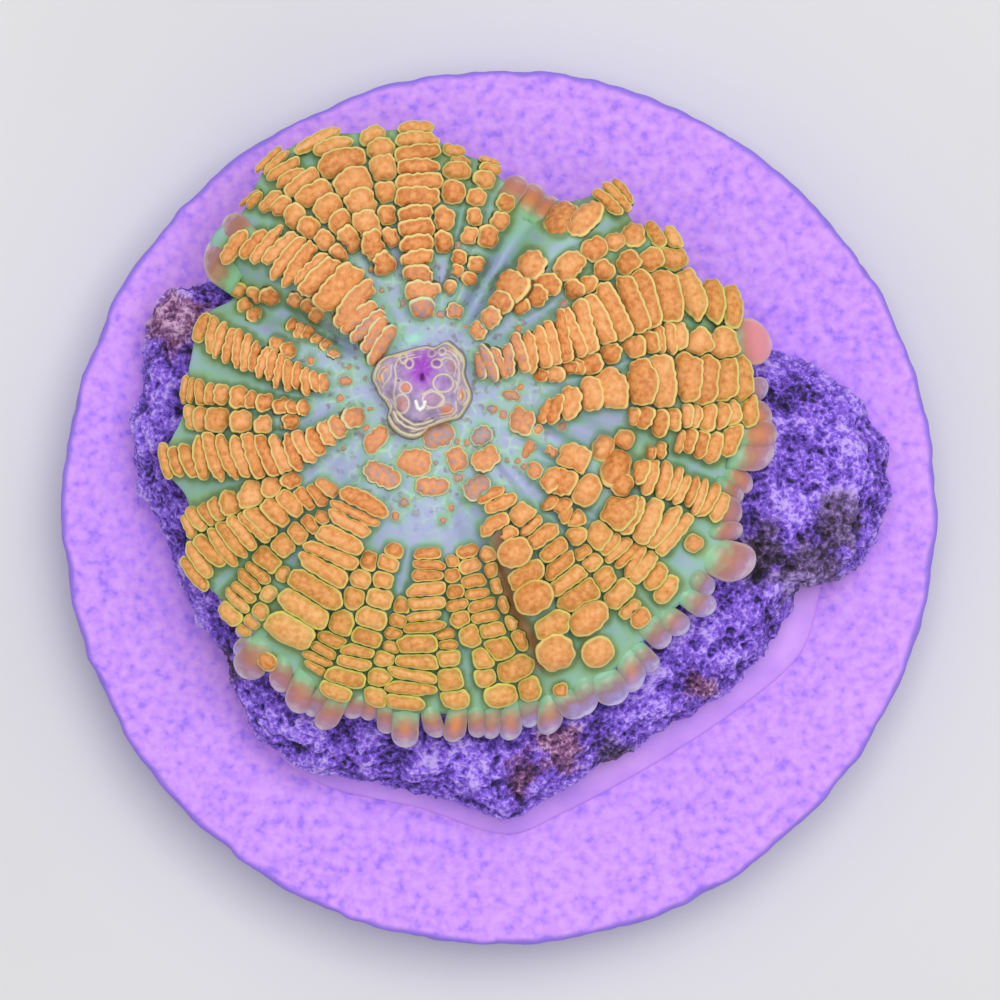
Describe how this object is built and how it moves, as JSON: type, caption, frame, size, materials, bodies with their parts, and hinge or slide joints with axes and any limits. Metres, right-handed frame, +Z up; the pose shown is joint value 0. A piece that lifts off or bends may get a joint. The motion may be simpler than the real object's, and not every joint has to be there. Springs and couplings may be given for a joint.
{
  "type": "mushroom coral on a frag disc",
  "caption": "Broad frilled mushroom coral with radial rows of soft lumps round a raised mouth, grown on reef rubble glued to a round ceramic frag disc.",
  "frame": {"origin": "centre of the frag disc's underside", "axes": "+Z up out of the disc, through the polyp; +Y towards the side of the disc that the polyp overhangs, away from the glue's visible edge; +X to the right of that"},
  "size_m": [0.05, 0.05, 0.0199],
  "materials": {
    "ceramic": "unglazed pressed ceramic, violet under reef light",
    "gel_glue": "cured gel, smooth and pale violet",
    "reef_rubble": "rough, encrusted, dark purple with lavender grains",
    "polyp_tissue": "moist soft tissue, orange lumps on blue-green"
  },
  "bodies": {
    "root": {"frag_disc": "ceramic", "glue": "gel_glue", "rock": "reef_rubble", "coral_polyp": "polyp_tissue"}
  },
  "joints": []
}
